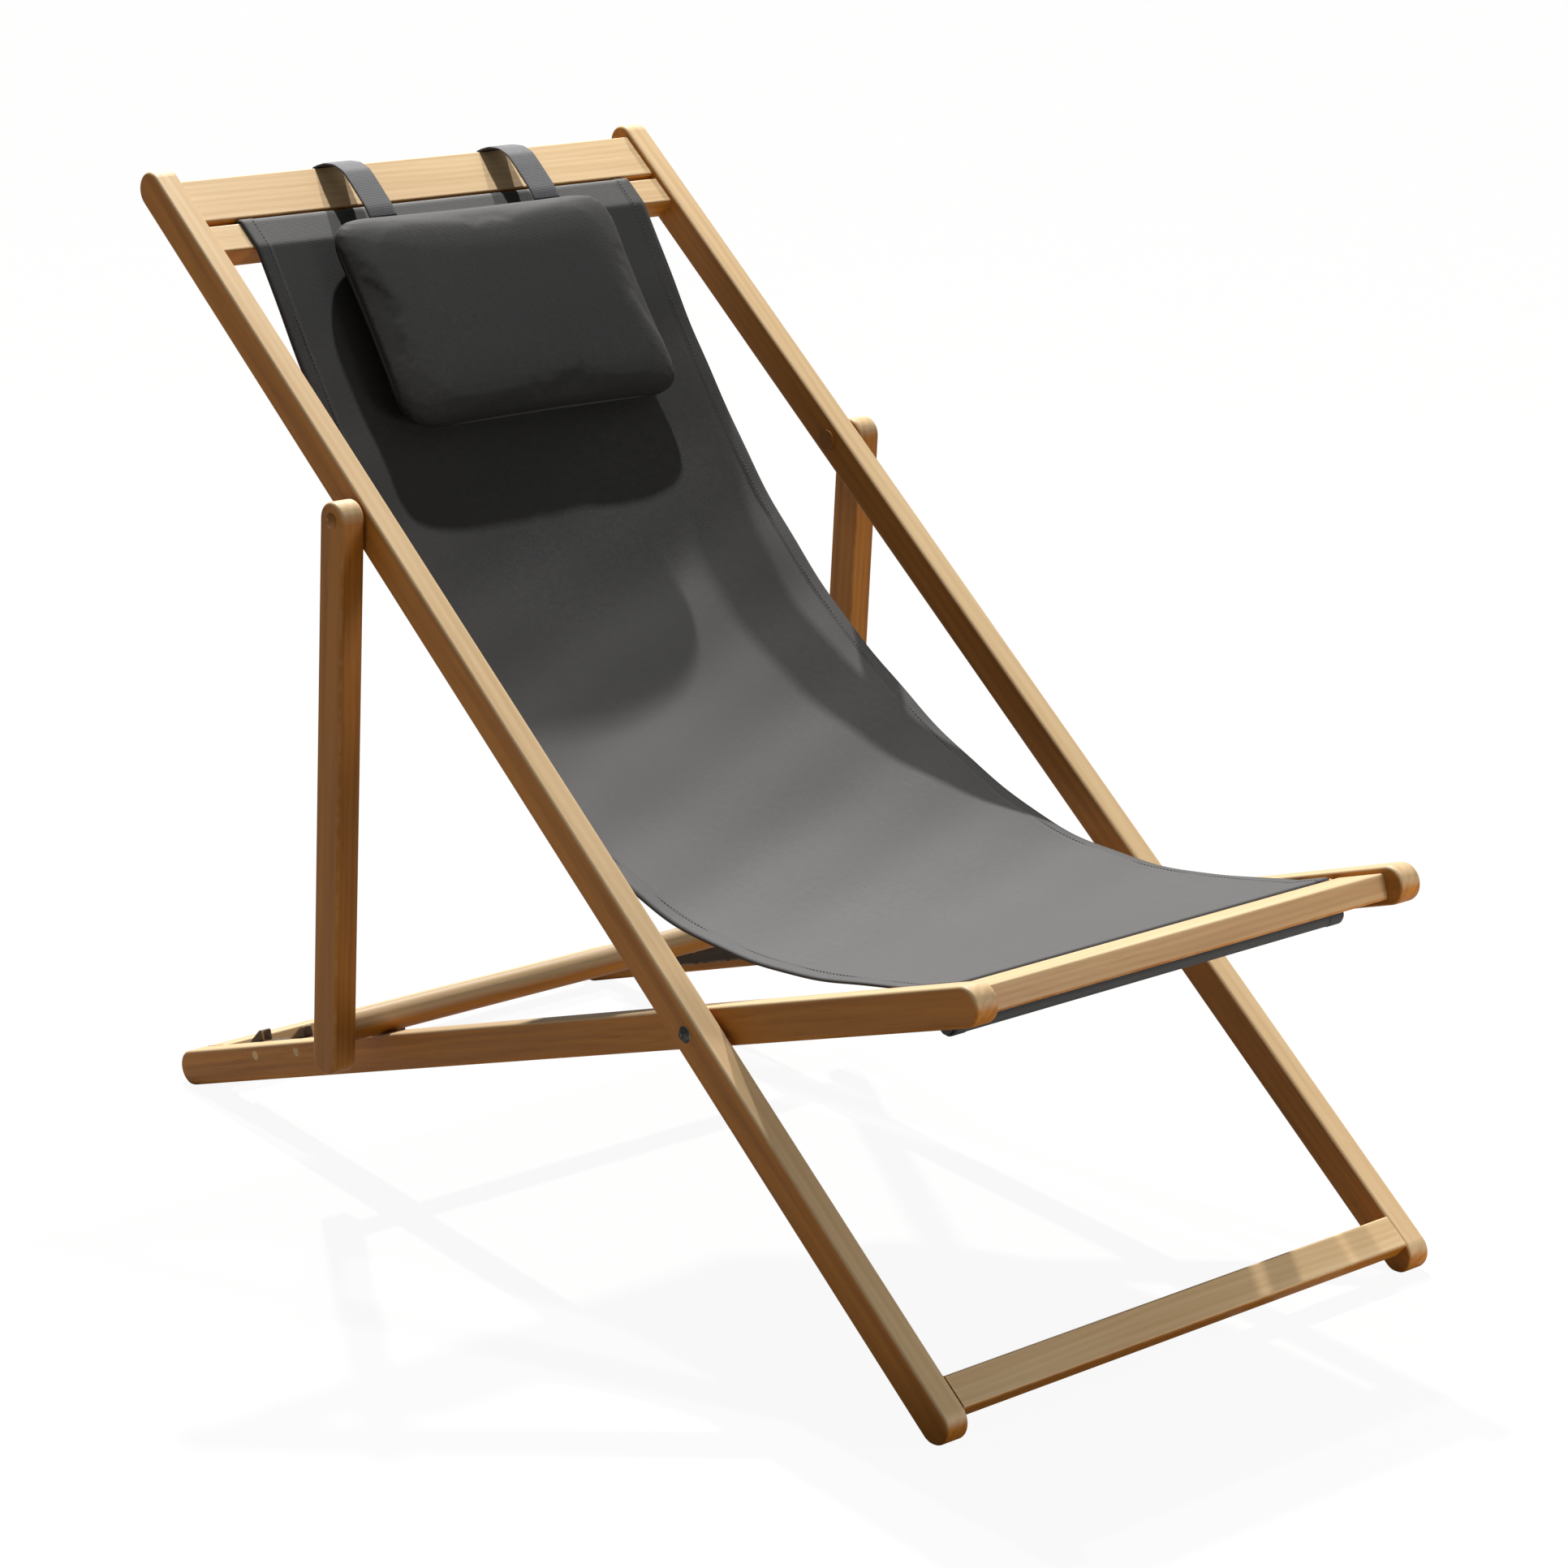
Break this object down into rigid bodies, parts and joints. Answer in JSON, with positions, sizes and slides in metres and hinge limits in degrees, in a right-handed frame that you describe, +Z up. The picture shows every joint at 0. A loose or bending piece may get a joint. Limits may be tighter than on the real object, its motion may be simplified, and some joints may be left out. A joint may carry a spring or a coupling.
{
  "type": "folding deck chair",
  "caption": "Folding wooden deck chair: long back frame crossed by a notched seat frame and a swinging prop frame, with a hanging fabric seat and a strapped head pillow.",
  "frame": {"origin": "on the floor, midway between the two sides and midway between the foremost and rearmost points of the frames", "axes": "+Z up, +Y from the sitter's feet towards the back, the chair facing -Y, +X across the chair to the sitter's left"},
  "size_m": [0.6644, 1.1479, 0.92],
  "materials": {
    "timber": "oiled",
    "rack_wood": "dark stain",
    "dowel_wood": "bare end grain",
    "hem_rod": "matte",
    "washer_metal": "zinc",
    "bolt_metal": "black zinc",
    "sling_fabric": "woven mesh",
    "pillow_fabric": "fine weave",
    "webbing": "webbing",
    "stud_metal": "satin"
  },
  "bodies": {
    "back_frame": {"back_rail_left": "timber", "back_rail_right": "timber", "head_board": "timber", "head_rail": "timber", "foot_bar": "timber", "head_hem_rod": "hem_rod", "seat_pivot_bolt_left": "bolt_metal", "seat_pivot_bolt_right": "bolt_metal", "seat_pivot_spacer_left": "washer_metal", "seat_pivot_spacer_right": "washer_metal", "seat_pivot_washer_left": "washer_metal", "seat_pivot_washer_right": "washer_metal", "seat_pivot_nut_left": "bolt_metal", "seat_pivot_nut_right": "bolt_metal", "prop_pivot_bolt_left": "bolt_metal", "prop_pivot_bolt_right": "bolt_metal", "prop_pivot_spacer_left": "washer_metal", "prop_pivot_spacer_right": "washer_metal", "prop_pivot_nut_left": "bolt_metal", "prop_pivot_nut_right": "bolt_metal", "sling": "sling_fabric", "pillow": "pillow_fabric", "strap_left": "webbing", "strap_right": "webbing", "strap_stud_left": "stud_metal", "strap_stud_right": "stud_metal"},
    "seat_frame": {"seat_rail_left": "timber", "seat_rail_right": "timber", "front_board": "timber", "front_rail": "timber", "rear_bar": "timber", "front_hem_rod": "hem_rod", "rack_left": "rack_wood", "rack_right": "rack_wood", "rack_dowel_left_1": "dowel_wood", "rack_dowel_left_2": "dowel_wood", "rack_dowel_left_3": "dowel_wood", "rack_dowel_right_1": "dowel_wood", "rack_dowel_right_2": "dowel_wood", "rack_dowel_right_3": "dowel_wood"},
    "prop_frame": {"prop_leg_left": "timber", "prop_leg_right": "timber", "prop_bar": "timber"}
  },
  "joints": [
    {"name": "seat_fold", "type": "hinge", "parent": "back_frame", "child": "seat_frame", "pos_m": [0, -0.24327, 0.27012], "axis": [1, 0, 0], "range_deg": [0, 54.2], "deforming": ["sling"]},
    {"name": "prop_swing", "type": "hinge", "parent": "back_frame", "child": "prop_frame", "pos_m": [0, 0.21679, 0.64267], "axis": [1, 0, 0], "range_deg": [0, 125.7]}
  ]
}
